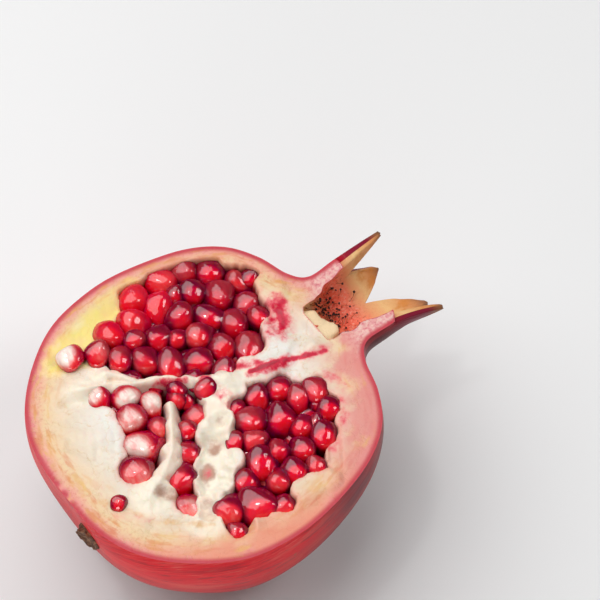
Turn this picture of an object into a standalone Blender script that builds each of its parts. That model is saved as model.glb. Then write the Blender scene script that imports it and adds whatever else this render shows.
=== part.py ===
"""A halved pomegranate lying on its rind with the cut face up.

+X runs along the fruit from its stem end to its crown, +Z is up, and the
origin is the middle of the small flat spot that the fruit rests on. The husk
(rind, pith, membranes and crown lobes, which grew as one piece) is one solid
with a pocket for each seed chamber. Every aril in the pockets is a solid of
its own, and so are the stub of the stem and the ring of dried stamens.
"""

import math

import bmesh
import bpy
import numpy as np

MM = 0.001
GAP = 0.3 * MM

# The body, turned about the fruit's own axis.
WIDEST_RADIUS = 46.7 * MM
AXIS_HEIGHT = 45.0 * MM
AXIS_RISE = math.radians(5)
AXIS_TURN = math.radians(1.5)
CUT_HEIGHT = 53.0 * MM
RIDGE_COUNT = 6
RIDGE_DEPTH = 0.010
SKIN_ROWS = 26
COLUMNS = 48

# Radius along the axis, from the stem end to the mouth of the crown tube.
SKIN_PROFILE = (
    (-40.0, 0.0),
    (-40.2, 15.0),
    (-35.5, 27.0),
    (-26.0, 37.0),
    (-14.0, 44.2),
    (0.0, 46.7),
    (14.0, 45.3),
    (27.0, 41.4),
    (36.5, 35.0),
    (42.0, 26.5),
    (45.0, 17.5),
    (49.0, 13.2),
    (57.0, 13.0),
)

# The crown: a tube that ends in six lobes round a cup.
# Each lobe has its middle and half width in degrees from +Y, turning down, and its
# length and flare in millimetres. The last two are cut away with the other half.
LOBES = (
    (4, 17, 17.0, 0.5),
    (50, 31, 12.5, 0.5),
    (118, 44, 17.0, 3.0),
    (163, 28, 16.0, 3.0),
    (222, 31, 16.0, 2.0),
    (291, 40, 16.0, 2.0),
)
LOBE_STEPS = (0.25, 0.5, 0.75, 1.0)
LOBE_NOTCH = 0.04
LOBE_POINT = 0.85
LOBE_TIP_THICKNESS = 1.6 * MM
CUP_MOUTH_RADIUS = 9.4 * MM
CUP_MOUTH_X = 57.0 * MM
CUP_FLOOR_RADIUS = 7.0 * MM
CUP_FLOOR_X = 41.0 * MM
CUP_ROWS = 5

# Seed chambers on the cut face, as closed outlines in millimetres.
POCKET_DEPTH = 14.0 * MM
HOLLOW_DEPTH = 2.2 * MM
OUTLINE_STEPS = 3
CHAMBERS = {
    "upper": (
        (-10, 35.5), (-1, 40), (8, 42), (18, 41.5), (27.5, 38), (34.5, 30), (35.5, 19),
        (32.5, 9), (27, 2.5), (17, 0.5), (9, 2.5), (2, 9), (-7, 17.5), (-16, 23),
    ),
    "right": (
        (6.5, -5.5), (14, -2.8), (22, -3.5), (29.5, -8.5), (33.5, -15.5), (32, -23),
        (25.5, -29), (15.5, -33), (5, -36.5), (-5, -38.5), (-12.5, -35.5), (-13, -27.5),
        (-7, -23), (-2.5, -21.5), (-0.5, -15.5), (3, -10),
    ),
    "left": (
        (-22.5, 20), (-16, 20.6), (-8.5, 14), (-5, 9.5), (-6.5, 3.5), (-10.5, -3),
        (-16.5, -7), (-21.5, -11.5), (-26.5, -11), (-27, -4.5), (-21.5, 2), (-20, 9),
        (-23.5, 15),
    ),
    "middle": (
        (-2, 8), (2, 5.5), (4.5, 1), (3.5, -4), (-1.5, -8), (-6.5, -12), (-9.5, -19),
        (-14.5, -27), (-19.5, -26), (-21, -17), (-15.5, -10.5), (-8.5, -5), (-4, 1),
    ),
}

# The shallow hollow beside the upper chamber, where the first seeds have gone.
HOLLOW = (
    (-26, 31.5), (-22, 36), (-12, 39.5), (0, 42.3), (10, 43), (14, 36), (2, 30), (-8, 24),
    (-16, 24.5), (-25, 27),
)

# Arils of each chamber: centre and radius in millimetres and, for a long one,
# how much longer than wide it is and which way it lies, in degrees from +X.
ARILS = {
    "upper": (
        (16.0, 38.5, 4.1), (6.5, 37.0, 4.1), (11.0, 32.0, 4.1), (2.0, 31.5, 3.8),
        (-5.0, 31.0, 3.9), (-11.0, 28.0, 3.3), (23.0, 36.5, 3.5), (28.5, 33.0, 3.9),
        (33.0, 26.5, 3.6), (21.0, 30.5, 3.3), (26.5, 25.5, 4.2), (31.0, 19.0, 3.4),
        (14.0, 26.0, 3.7), (20.0, 21.5, 3.6), (24.5, 16.0, 3.8), (-1.0, 26.0, 2.9),
        (5.0, 23.5, 3.2), (14.5, 17.5, 3.7), (18.0, 11.5, 3.6), (23.5, 8.0, 4.0, 1.3, 54),
        (-7.0, 23.5, 3.4), (-2.0, 20.0, 3.6), (3.5, 15.5, 3.6), (10.0, 11.5, 3.6),
        (14.0, 5.5, 3.0),
    ),
    "right": (
        (16.5, -6.0, 3.1), (9.5, -6.0, 3.0), (22.5, -8.0, 3.2), (25.0, -13.0, 3.2, 1.5, 54),
        (29.5, -14.5, 3.6), (29.5, -20.5, 2.9), (10.5, -11.0, 4.0, 1.3, -36),
        (18.0, -15.0, 3.6, 1.5, 54), (20.5, -20.5, 3.3), (23.5, -26.0, 3.7),
        (3.5, -13.5, 3.0), (8.0, -16.5, 3.3), (17.0, -26.0, 3.1), (6.0, -22.5, 4.1),
        (11.0, -30.0, 3.3), (-0.5, -25.0, 3.3), (6.5, -29.5, 3.1), (-2.0, -32.0, 4.6),
        (-9.0, -28.5, 4.1),
    ),
    "left": (
        (-17.5, 17.5, 2.8), (-11.5, 13.5, 4.3), (-8.0, 7.5, 3.6), (-14.0, 7.5, 4.2),
        (-10.5, 1.0, 2.8), (-16.5, -0.5, 4.4, 1.2, -36), (-22.0, -6.0, 4.4, 1.2, 54),
    ),
    "middle": (
        (1.5, 4.5, 3.0), (0.5, -1.0, 3.1), (-7.5, -9.0, 3.1), (-13.5, -13.5, 3.7, 1.3, 54),
        (-16.5, -22.0, 3.0, 1.4, 54),
    ),
}
LOOSE_ARIL = (-18.2, 31.0)

LENGTH_RATIO = 2.6
NEIGHBOUR_REACH = 14.0 * MM
FREE_SIDES = 8
FREE_REACH = 1.12
WALL_SECTORS = 12
WALL_REACH = 7.0 * MM
ARIL_TAPER = math.radians(7)
ARIL_ROUNDNESS = 12
ARIL_SEED = 12
LOOSE_ARIL_TURN = math.radians(3)
LOOSE_ARIL_HALF_SIZE = (3.4 * MM, 2.7 * MM, 2.5 * MM)

# How far the arils' tops stand above the cut face, and how it changes along X.
TOP_RULE = {
    "upper": (1.2 * MM, -0.09),
    "right": (-0.4 * MM, 0.02),
    "left": (1.4 * MM, 0.02),
    "middle": (-1.6 * MM, 0.0),
}

STUB_CENTRE = (-41.0 * MM, -10.4 * MM, 41.5 * MM)
STUB_RADIUS = 4.0 * MM
STUB_LENGTH = 2.2 * MM
STUB_TURN = math.radians(16)
STUB_SIDES = 12

STAMEN_COUNT = 17
STAMEN_ARC = (math.radians(8), math.radians(172))
STAMEN_BAND_X = (47.0 * MM, 49.0 * MM)
STAMEN_LENGTH = 5.0 * MM
STAMEN_THICKNESS = 0.7 * MM
STAMEN_WALL_GAP = 0.5 * MM


def clear_scene():
    """Removes every object that is in the scene."""
    for obj in list(bpy.data.objects):
        bpy.data.objects.remove(obj, do_unlink=True)


def make_material(name, colour, roughness, metallic=0.0):
    """A plain Principled BSDF material."""
    material = bpy.data.materials.new(name)
    material.use_nodes = True
    shader = material.node_tree.nodes["Principled BSDF"]
    shader.inputs["Base Color"].default_value = (*colour, 1.0)
    shader.inputs["Roughness"].default_value = roughness
    shader.inputs["Metallic"].default_value = metallic
    material.diffuse_color = (*colour, 1.0)
    return material


def add_object(name, points, faces, material=None):
    """A mesh object from points in metres and faces as lists of indices."""
    mesh = bpy.data.meshes.new(name)
    mesh.from_pydata([tuple(point) for point in points], [], faces)
    mesh.validate()
    if material:
        mesh.materials.append(material)
    shape = bmesh.new()
    shape.from_mesh(mesh)
    bmesh.ops.recalc_face_normals(shape, faces=shape.faces)
    shape.to_mesh(mesh)
    shape.free()
    obj = bpy.data.objects.new(name, mesh)
    bpy.context.collection.objects.link(obj)
    return obj


def smooth(obj, angle=35):
    """Shades a round piece smooth, apart from edges sharper than the angle."""
    obj.data.shade_smooth()
    obj.data.set_sharp_from_angle(angle=math.radians(angle))


def curve_through(points, steps, closed=False):
    """Points on a Catmull-Rom curve, with so many steps from each point to the next."""
    points = np.asarray(points, float)
    if closed:
        padded = np.vstack([points[-1:], points, points[:2]])
    else:
        padded = np.vstack([2 * points[0] - points[1], points, 2 * points[-1] - points[-2]])
    parts = []
    for before, start, end, after in zip(padded, padded[1:], padded[2:], padded[3:]):
        t = np.linspace(0, 1, steps, endpoint=False)[:, None]
        bend = 2 * before - 5 * start + 4 * end - after
        twist = 3 * (start - end) + after - before
        parts.append(0.5 * (2 * start + (end - before) * t + bend * t**2 + twist * t**3))
    if not closed:
        parts.append(points[-1:])
    return np.vstack(parts)


def skin_rows():
    """Axis position and radius of each row of the skin, from the stem end to the mouth."""
    curve = curve_through(SKIN_PROFILE, 12) * MM
    length = np.concatenate([[0], np.cumsum(np.linalg.norm(np.diff(curve, axis=0), axis=1))])
    even = np.linspace(0, length[-1], SKIN_ROWS)
    along = np.interp(even, length, curve[:, 0])
    radius = np.interp(even, length, curve[:, 1])
    return along, radius


def lobe_share(angle):
    """How far the crown's edge reaches at each angle, and that lobe's length and flare."""
    middle, half_width, length, flare = np.array(LOBES).T[:, :, None]
    away = (np.degrees(angle) - middle + 180) % 360 - 180
    shares = np.clip(1 - np.abs(away) / half_width, LOBE_NOTCH, 1) ** LOBE_POINT
    lobe = shares.argmax(axis=0)
    return shares.max(axis=0), length[lobe, 0] * MM, flare[lobe, 0] * MM


def on_axis(along, radius, angle):
    """World points from axis position, radius, and angle from +Y down to -Z.

    The axis passes through the middle of the fruit, rises toward the crown, and
    turns a little to +Y there.
    """
    side = radius * np.cos(angle)
    up = -radius * np.sin(angle)
    ahead = along * math.cos(AXIS_RISE) - up * math.sin(AXIS_RISE)
    x = ahead * math.cos(AXIS_TURN) - side * math.sin(AXIS_TURN)
    y = ahead * math.sin(AXIS_TURN) + side * math.cos(AXIS_TURN)
    z = along * math.sin(AXIS_RISE) + up * math.cos(AXIS_RISE) + AXIS_HEIGHT
    return np.stack([x, y, z], axis=-1)


def turned_rings(angle):
    """The rings of the whole husk in order: skin, lobes outside, lobes inside, cup."""
    share, lobe_length, flare = lobe_share(angle)
    along, radius = skin_rows()
    ridges = 1 - RIDGE_DEPTH * np.cos(RIDGE_COUNT * angle + 0.4)
    rings = []
    for place, size in zip(along[1:], radius[1:]):
        swell = 1 + (ridges - 1) * min(1.0, (size / WIDEST_RADIUS) ** 2)
        rings.append(on_axis(place + 0 * angle, size * swell, angle))
    for step in LOBE_STEPS:
        reach = step * share
        rings.append(on_axis(CUP_MOUTH_X + reach * lobe_length,
                             radius[-1] + flare * reach**2, angle))
    for step in reversed(LOBE_STEPS):
        reach = step * share
        wall = (1 - reach) * (radius[-1] - CUP_MOUTH_RADIUS) + reach * LOBE_TIP_THICKNESS
        rings.append(on_axis(CUP_MOUTH_X + reach * lobe_length,
                             radius[-1] + flare * reach**2 - wall, angle))
    for step in np.linspace(0, 1, CUP_ROWS):
        place = CUP_MOUTH_X + step * (CUP_FLOOR_X - CUP_MOUTH_X)
        size = CUP_MOUTH_RADIUS + step * (CUP_FLOOR_RADIUS - CUP_MOUTH_RADIUS)
        rings.append(on_axis(place + 0 * angle, size + 0 * angle, angle))
    return rings


def make_husk(material):
    """The whole fruit's husk as one closed shell of rings, before it is cut."""
    angle = np.arange(COLUMNS) / COLUMNS * math.tau
    rings = turned_rings(angle)
    stem_end = on_axis(np.array(SKIN_PROFILE[0][0] * MM), np.array(0.0), np.array(0.0))
    cup_floor = on_axis(np.array(CUP_FLOOR_X), np.array(0.0), np.array(0.0))
    points = np.vstack([stem_end[None], *rings, cup_floor[None]])
    column = np.arange(COLUMNS)
    following = (column + 1) % COLUMNS
    faces = []
    for ring in range(len(rings) - 1):
        start = 1 + ring * COLUMNS
        quads = np.stack([start + column, start + following,
                          start + COLUMNS + following, start + COLUMNS + column], axis=1)
        faces.extend(quads.tolist())
    last = 1 + (len(rings) - 1) * COLUMNS
    faces.extend(np.stack([0 * column, 1 + following, 1 + column], axis=1).tolist())
    faces.extend(np.stack([last + column, last + following,
                           0 * column + len(points) - 1], axis=1).tolist())
    return add_object("husk_half", points, faces, material)


def add_cutter(name, points, faces):
    """A helper that shapes the husk and is never part of the model."""
    cutter = add_object(name, points, faces)
    cutter.hide_render = True
    cutter.display_type = "WIRE"
    return cutter


def block_cutter(name, low, high):
    """A box from one corner to the other."""
    corners = [(x, y, z) for z in (low, high) for x, y in
               ((-0.1, -0.1), (0.1, -0.1), (0.1, 0.1), (-0.1, 0.1))]
    faces = [(3, 2, 1, 0), (4, 5, 6, 7), (0, 1, 5, 4), (1, 2, 6, 5), (2, 3, 7, 6), (3, 0, 4, 7)]
    return add_cutter(name, corners, faces)


def pocket_cutter(name, outline, depth):
    """A straight-walled pocket with a slightly smaller floor, from above the cut face."""
    middle = outline.mean(axis=0)
    floor = middle + (outline - middle) * 0.94
    count = len(outline)
    top = np.column_stack([outline, np.full(count, CUT_HEIGHT + 5 * MM)])
    waist = np.column_stack([outline, np.full(count, CUT_HEIGHT - 0.7 * depth)])
    base = np.column_stack([floor, np.full(count, CUT_HEIGHT - depth)])
    index = np.arange(count)
    following = (index + 1) % count
    faces = [index[::-1].tolist(), (2 * count + index).tolist()]
    for start in (0, count):
        faces.extend(np.stack([start + index, start + following,
                               start + count + following, start + count + index],
                              axis=1).tolist())
    return add_cutter(name, np.vstack([top, waist, base]), faces)


def cut_husk(husk, outlines):
    """Halves the husk, flattens the rest spot, and opens the chambers and the hollow."""
    cutters = [
        block_cutter("cutter_half", CUT_HEIGHT, CUT_HEIGHT + 0.1),
        block_cutter("cutter_rest", -0.1, 0.0),
    ]
    for name, outline in outlines.items():
        cutters.append(pocket_cutter("cutter_" + name, outline, POCKET_DEPTH))
    hollow = curve_through(HOLLOW, OUTLINE_STEPS, closed=True) * MM
    cutters.append(pocket_cutter("cutter_hollow", hollow, HOLLOW_DEPTH))
    for cutter in cutters:
        cut = husk.modifiers.new(cutter.name, "BOOLEAN")
        cut.operation = "DIFFERENCE"
        cut.solver = "EXACT"
        cut.object = cutter


def nearest_on_outline(centre, outline):
    """The point of the outline nearest the centre in each of several sectors round it."""
    run = np.roll(outline, -1, axis=0) - outline
    share = np.clip(((centre - outline) * run).sum(axis=1) / (run**2).sum(axis=1), 0, 1)
    feet = outline + run * share[:, None]
    away = feet - centre
    distance = np.linalg.norm(away, axis=1)
    sector = np.floor(np.arctan2(away[:, 1], away[:, 0]) / math.tau * WALL_SECTORS)
    found = []
    for number in np.unique(sector[distance < WALL_REACH]):
        inside = np.where(sector == number)[0]
        found.append(feet[inside[distance[inside].argmin()]])
    return found


def side_planes(centre, size, long_shape, others, sizes, outline):
    """Directions and distances of the faces an aril shares with its neighbours and the wall.

    Its free sides touch an ellipse of the aril's own length and direction.
    """
    stretch, lie = long_shape
    angle = np.arange(FREE_SIDES) / FREE_SIDES * math.tau
    directions = list(np.column_stack([np.cos(angle), np.sin(angle)]))
    across = angle - math.radians(lie)
    free = FREE_REACH * size * np.hypot(stretch * np.cos(across), np.sin(across))
    distances = list(free)
    for other, other_size in zip(others, sizes):
        away = other - centre
        span = np.linalg.norm(away)
        if 0 < span < NEIGHBOUR_REACH:
            directions.append(away / span)
            distances.append(0.5 * (span + (size**2 - other_size**2) / span) - 0.5 * GAP)
    for foot in nearest_on_outline(centre, outline):
        away = foot - centre
        span = np.linalg.norm(away)
        directions.append(away / span)
        distances.append(span - GAP)
    return np.array(directions), np.array(distances)


def aril_planes(directions, distances, length, chance):
    """All faces of one aril: tapered sides, a faceted top and a narrow foot."""
    down = -np.full(len(directions), math.sin(ARIL_TAPER))
    sides = np.column_stack([directions * math.cos(ARIL_TAPER), down])
    reach = distances * math.cos(ARIL_TAPER) - 0.4 * length * math.sin(ARIL_TAPER)
    turn = chance.uniform(0, math.tau)
    planes = [(direction, distance) for direction, distance in zip(sides, reach)]
    for index in range(3):
        lean = math.radians(chance.uniform(30, 42))
        angle = turn + index * math.tau / 3
        slope = np.array([math.cos(angle) * math.sin(lean), math.sin(angle) * math.sin(lean),
                          math.cos(lean)])
        planes.append((slope, 0.42 * length))
    planes.append((np.array([0.0, 0.0, 1.0]), 0.40 * length))
    planes.append((np.array([0.0, 0.0, -1.0]), 0.60 * length))
    return planes


def rounded_shape(name, centre, planes, material):
    """A rounded convex body: along each direction its reach is a soft minimum over its faces.

    The reach is (sum of max(n.d / distance, 0) ** p) ** (-1 / p) for the faces'
    normals n and distances, so it stays inside every face.
    """
    shape = bmesh.new()
    bmesh.ops.create_icosphere(shape, subdivisions=2, radius=1.0)
    for corner in shape.verts:
        direction = np.array(corner.co.normalized())
        total = sum(max(normal @ direction / distance, 0.0) ** ARIL_ROUNDNESS
                    for normal, distance in planes)
        corner.co = np.asarray(centre) + direction * total ** (-1 / ARIL_ROUNDNESS)
    mesh = bpy.data.meshes.new(name)
    shape.to_mesh(mesh)
    shape.free()
    mesh.materials.append(material)
    obj = bpy.data.objects.new(name, mesh)
    bpy.context.collection.objects.link(obj)
    smooth(obj, 60)
    return obj


def make_arils(outlines, material):
    """Every aril of every chamber."""
    chance = np.random.default_rng(ARIL_SEED)
    for chamber, arils in ARILS.items():
        places = np.array([aril[:2] for aril in arils]) * MM
        sizes = np.array([aril[2] for aril in arils]) * MM
        proud, slope = TOP_RULE[chamber]
        for number, (aril, place, size) in enumerate(zip(arils, places, sizes), 1):
            directions, distances = side_planes(place, size, aril[3:] or (1.0, 0.0), places,
                                                sizes, outlines[chamber])
            length = LENGTH_RATIO * size
            top = CUT_HEIGHT + proud + slope * place[0] + chance.uniform(-0.6, 0.6) * MM
            centre = (place[0], place[1], top - 0.40 * length)
            planes = aril_planes(directions, distances, length, chance)
            rounded_shape(f"aril_{chamber}_{number:02d}", centre, planes, material)


def make_loose_aril(material):
    """The aril that lies on its side in the hollow."""
    along = np.array([math.cos(LOOSE_ARIL_TURN), math.sin(LOOSE_ARIL_TURN), 0.0])
    across = np.array([-along[1], along[0], 0.0])
    upward = np.array([0.0, 0.0, 1.0])
    planes = []
    for axis, half in zip((along, across, upward), LOOSE_ARIL_HALF_SIZE):
        planes.append((axis, half))
        planes.append((-axis, half))
    height = CUT_HEIGHT - HOLLOW_DEPTH + GAP + LOOSE_ARIL_HALF_SIZE[2]
    centre = (LOOSE_ARIL[0] * MM, LOOSE_ARIL[1] * MM, height)
    rounded_shape("aril_loose", centre, planes, material)


def make_stem_stub(material):
    """The woody stub of the stem, a short ribbed plug that flares where it broke off."""
    sizes = ((0.0, 0.85), (0.25, 0.8), (0.8, 1.0), (1.0, 0.9))
    angle = np.arange(STUB_SIDES) / STUB_SIDES * math.tau
    ribs = 1 + 0.07 * np.cos(angle * 5)
    rings = []
    for share, size in sizes:
        ring = np.stack([0 * angle - share * STUB_LENGTH,
                         STUB_RADIUS * size * ribs * np.cos(angle),
                         STUB_RADIUS * size * ribs * np.sin(angle)], axis=1)
        rings.append(ring)
    points = np.vstack(rings)
    index = np.arange(STUB_SIDES)
    following = (index + 1) % STUB_SIDES
    faces = [index.tolist(), ((len(sizes) - 1) * STUB_SIDES + index[::-1]).tolist()]
    for ring in range(len(sizes) - 1):
        start = ring * STUB_SIDES
        faces.extend(np.stack([start + index, start + following,
                               start + STUB_SIDES + following,
                               start + STUB_SIDES + index], axis=1).tolist())
    stub = add_object("stem_stub", points, faces, material)
    stub.location = STUB_CENTRE
    stub.rotation_euler = (0, 0, STUB_TURN)
    smooth(stub)
    return stub


def make_stamen_ring(material):
    """The dried stamens inside the cup, as one band whose upper edge is cut into points."""
    angle = np.linspace(*STAMEN_ARC, 2 * STAMEN_COUNT + 1)
    points_up = np.arange(len(angle)) % 2
    low, high = STAMEN_BAND_X
    rows = (
        (low + 0 * angle, 0.0),
        (high + points_up * STAMEN_LENGTH, 0.0),
        (high + points_up * STAMEN_LENGTH, STAMEN_THICKNESS),
        (low + 0 * angle, STAMEN_THICKNESS),
    )
    slope = (CUP_MOUTH_RADIUS - CUP_FLOOR_RADIUS) / (CUP_MOUTH_X - CUP_FLOOR_X)
    rings = []
    for along, inward in rows:
        wall = CUP_FLOOR_RADIUS + slope * (along - CUP_FLOOR_X)
        rings.append(on_axis(along, wall - STAMEN_WALL_GAP - inward, angle))
    count = len(angle)
    index = np.arange(count - 1)
    faces = []
    for ring in range(4):
        start = ring * count
        end = (ring + 1) % 4 * count
        faces.extend(np.stack([start + index, start + index + 1, end + index + 1,
                               end + index], axis=1).tolist())
    first = np.arange(4) * count
    faces.append(first[::-1].tolist())
    faces.append((first + count - 1).tolist())
    return add_object("stamen_ring", np.vstack(rings), faces, material)


def main():
    clear_scene()
    husk_material = make_material("husk_skin", (0.55, 0.03, 0.05), 0.35)
    aril_material = make_material("aril_juice", (0.45, 0.01, 0.02), 0.15)
    wood_material = make_material("stem_wood", (0.10, 0.06, 0.04), 0.8)
    stamen_material = make_material("dried_stamen", (0.12, 0.06, 0.03), 0.8)
    outlines = {}
    for name, outline in CHAMBERS.items():
        outlines[name] = curve_through(outline, OUTLINE_STEPS, closed=True) * MM
    husk = make_husk(husk_material)
    cut_husk(husk, outlines)
    make_arils(outlines, aril_material)
    make_loose_aril(aril_material)
    make_stem_stub(wood_material)
    make_stamen_ring(stamen_material)
    bpy.context.view_layer.update()


main()
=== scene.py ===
"""A halved pomegranate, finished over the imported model.

The husk is one closed surface: a sheet of rings round the fruit's own axis, with
a relief for the cut face. Arils are rounded cells that press on each other.
"""
import math

import bpy
import numpy as np
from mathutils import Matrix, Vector
from mathutils.geometry import delaunay_2d_cdt


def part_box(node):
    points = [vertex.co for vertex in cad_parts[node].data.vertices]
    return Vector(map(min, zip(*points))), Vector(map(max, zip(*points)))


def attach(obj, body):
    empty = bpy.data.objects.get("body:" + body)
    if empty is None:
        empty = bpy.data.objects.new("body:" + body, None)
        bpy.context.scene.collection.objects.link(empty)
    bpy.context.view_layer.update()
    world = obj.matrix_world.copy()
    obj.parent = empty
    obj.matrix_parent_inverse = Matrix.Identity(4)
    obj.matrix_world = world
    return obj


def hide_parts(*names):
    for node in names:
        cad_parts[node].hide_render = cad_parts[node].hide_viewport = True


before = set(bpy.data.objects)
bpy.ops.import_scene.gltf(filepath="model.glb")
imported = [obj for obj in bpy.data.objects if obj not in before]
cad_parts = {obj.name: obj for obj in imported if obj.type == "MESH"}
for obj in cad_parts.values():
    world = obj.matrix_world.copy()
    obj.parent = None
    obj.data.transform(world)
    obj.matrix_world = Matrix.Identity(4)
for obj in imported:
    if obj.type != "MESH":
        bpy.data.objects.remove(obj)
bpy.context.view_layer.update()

MM = 0.001

# The fruit's axis, as the model has it.
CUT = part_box("husk_half")[1].z
AXIS_HEIGHT = 45.0 * MM
AXIS_RISE = math.radians(5)
AXIS_TURN = math.radians(1.5)

# Radius along the axis, from the stem end to the mouth of the crown tube.
SKIN_PROFILE = (
    (-40.0, 0.0), (-40.2, 15.0), (-35.5, 27.0), (-26.0, 37.0), (-14.0, 44.2), (0.0, 46.7), (14.0, 45.3),
    (27.0, 41.4), (36.5, 35.0), (42.0, 26.5), (45.0, 17.5), (49.0, 13.2), (57.0, 13.0),
)
WIDEST_RADIUS = 46.7 * MM
RIDGE_COUNT = 6
RIDGE_DEPTH = 0.010
LUMP_DEPTH = 0.008

# Crown lobes: middle and half width in degrees from +Y turning down, length and
# flare in millimetres. The last two are cut away with the other half.
LOBES = (
    (4, 17, 17.0, 0.5), (50, 31, 12.5, 0.5), (118, 44, 17.0, 3.0),
    (163, 28, 16.0, 3.0), (222, 31, 16.0, 2.0), (291, 40, 16.0, 2.0),
)
LOBE_NOTCH = 0.04
LOBE_POINT = 0.85
LOBE_RAGGED = 0.07
LOBE_WARP = 0.5 * MM
LOBE_TIP_THICKNESS = 1.6 * MM
LOBE_TIP_BULGE = 0.35 * MM
CUP_MOUTH_RADIUS = 9.4 * MM
CUP_MOUTH_X = 57.0 * MM
CUP_FLOOR_RADIUS = 7.0 * MM
CUP_FLOOR_X = 41.0 * MM
CUP_RELIEF = 0.75 * MM
CROWN_START = 42.0 * MM
CUP_CROWN = 0.4
FLOOR_LUMP = 5.5 * MM

# The sheet of rings and the face's points.
ROW_STEP = 0.62 * MM
SHEET_COLUMNS = 120
LOBE_ROWS = 26
TIP_ROWS = 5
CUP_ROWS = 26
FLOOR_ROWS = 12
FACE_STEP = 0.42 * MM

# The model's chambers change slope at the waist, where their outlines are found. A pocket reaches
# past its chamber by the spread at most, hugs the arils, and leaves the rind at least this wide.
WAIST_DEPTH = 9.8 * MM
CHAMBER_SPREAD = 4.5 * MM
POCKET_DEPTH = 13.0 * MM
POCKET_MARGIN = 0.2 * MM
WALL_WIDTH = 1.9 * MM
RIND_LEFT = 3.4 * MM
BRIDGE = 3.3 * MM
HOLLOW_DEPTH = 1.5 * MM

# Membranes that stand between chambers: half width of the crest and points along each, in
# millimetres. Their sides slope down this many times wider than the other walls, and the
# thin ones rise to a sharp crest.
MEMBRANE_SLOPE = 2.8
THIN_MEMBRANE = 1.0
SHARP_CREST = 0.7 * MM
SHARP_WIDTH = 1.8 * MM
MEMBRANES = (
    (0.2, ((-4.4, 3.6), (-6.2, 0.8), (-8.4, -2.5))),
    (0.7, ((-7.6, -1.2), (-8.4, -2.5), (-11.3, -6.8), (-16, -11), (-24, -15))),
    (1.4, ((-11.3, -6.8), (-16, -11), (-24, -15))),
    (0.4, ((-22, 21), (-15, 18.8), (-9, 14.5), (-3, 12.2), (1.5, 8.8), (7, 5), (12, 2.5), (18, 0))),
    (0.7, ((-14, 22), (-10.5, 19), (-9, 15.5))),
    (2.1, ((11, 1.5), (8, -0.5), (5, -4.2), (1.5, -10), (-5, -18), (-11, -24.5), (-16, -28.5))),
)

# The hollow beside the upper chamber, as a closed outline in millimetres.
HOLLOW = ((-27, 31), (-22, 36.5), (-12, 40), (0, 42.3), (10, 42), (10, 32), (0, 26), (-10, 24), (-18, 26.5))

# Strokes on the cut face, in millimetres: x and y where each starts and ends, its width and
# its strength. A ridge or a dip is as high or deep as its strength.
RIDGES = (
    (-4.5, 4.5, -9, -3, 1.9, 0.8), (-9, -3, -15, -9, 2.4, 0.9), (-15, -9, -23, -14, 2.8, 0.8),
    (-28, 24, -14, 20, 2.4, 0.8), (-14, 20, 4, 6.5, 1.4, 0.5), (6, 4, 12, 0, 1.8, 0.8),
    (12, 0, 36, -4, 1.8, 0.5), (10, -3, 4, -12, 2.2, 0.8), (-8, -25, -19, -22, 1.5, 0.8),
    (7, -38, 17, -38, 2.4, 0.8), (-3, -31, -6, -37, 1.6, 0.7), (27, 26, 38, 15, 3.0, 0.7),
    (-36, 12, -30, 5, 2.6, 0.5), (-27, 2, -22, -6, 2.2, 0.4), (-24, -22, -12, -30, 2.2, 0.5),
)
DIPS = (
    (-3, -13, -7.5, -18.5, 5.0, 2.6), (-2.3, -12.2, -2.3, -12.2, 2.6, 2.2),
    (-7.4, -16.9, -7.4, -16.9, 2.8, 2.6), (3.2, -7.5, 3.2, -7.5, 2.4, 1.6),
    (-12, -24, -14, -28, 2.6, 1.4), (-20.5, -15.5, -17, -20, 2.0, 0.8), (34, 8, 37, 3, 3.4, 1.0),
    (-9.5, -31, -8, -36, 2.0, 1.4), (-27, -22, -18, -29, 2.2, 0.5), (20, -35, 23, -30, 2.2, 1.0),
    (38, 1, 26, -7, 2.0, 0.6), (-32, 9, -26, 0, 1.8, 0.4),
)
JUICE_STAINS = (
    (33, 5.5, 35.5, 10, 1.4, 0.8), (33.5, 9, 36, 14, 2.0, 0.45), (32.2, 5.5, 35.6, 11, 3.6, 0.5),
    (18, -0.5, 26, -2.6, 0.7, 1.0), (18, -0.5, 27, -3.4, 1.6, 0.5), (26, -2.6, 38, -7.4, 0.8, 0.7),
    (26, -3, 38, -7, 1.8, 0.3), (-7.4, -16.9, -8, -17.5, 1.3, 0.2), (29, -26, 33, -19, 2.6, 0.25),
    (22, -31, 26, -28, 2.4, 0.2), (-4, 11, 2, 7.5, 1.2, 0.45), (33, -12, 36, -18, 2.4, 0.2),
    (7, 5, 9, -5, 1.8, 0.35), (-33, -14, -27, -20, 1.8, 0.15), (16, 4, 22, -1, 1.8, 0.5),
    (8, -9, 10, -12, 1.2, 0.55), (-5, -27, -10, -29, 1.4, 0.25),
)
TAN_STAINS = (
    (-7.4, -16.9, -8, -17.5, 2.2, 1.0), (-2.3, -12.2, -1.8, -12.6, 2.2, 0.8),
    (3.2, -7.5, 3.2, -7.5, 1.6, 0.6), (-20.5, -15.5, -17, -20, 1.8, 0.8),
    (-12, -25, -14.5, -29, 1.6, 0.5), (-36, 2, -37, -4, 1.0, 0.5), (-35, -8, -28, -18, 1.0, 0.5),
    (-27, -21, -15, -31, 0.9, 0.5), (-31, -6, -29, -11, 0.9, 0.25), (-39, 6, -38, 10, 1.0, 0.4),
    (-9.5, -31, -8, -36, 1.6, 0.45), (-20, -33, -10, -38, 1.3, 0.35), (41, 12, 42, 8, 1.6, 0.35),
)

# Arils.
ARIL_RINGS = 24
ARIL_SECTORS = 32
ARIL_SEED = 7
ARIL_ROUNDNESS = 6
ARIL_FIT = 1.2
LOOSE_FIT = 1.0
LAYER_DROP = 3.4 * MM
LOWER_SIZE = 3.3 * MM
LOWER_REACH = 6.6 * MM
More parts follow.
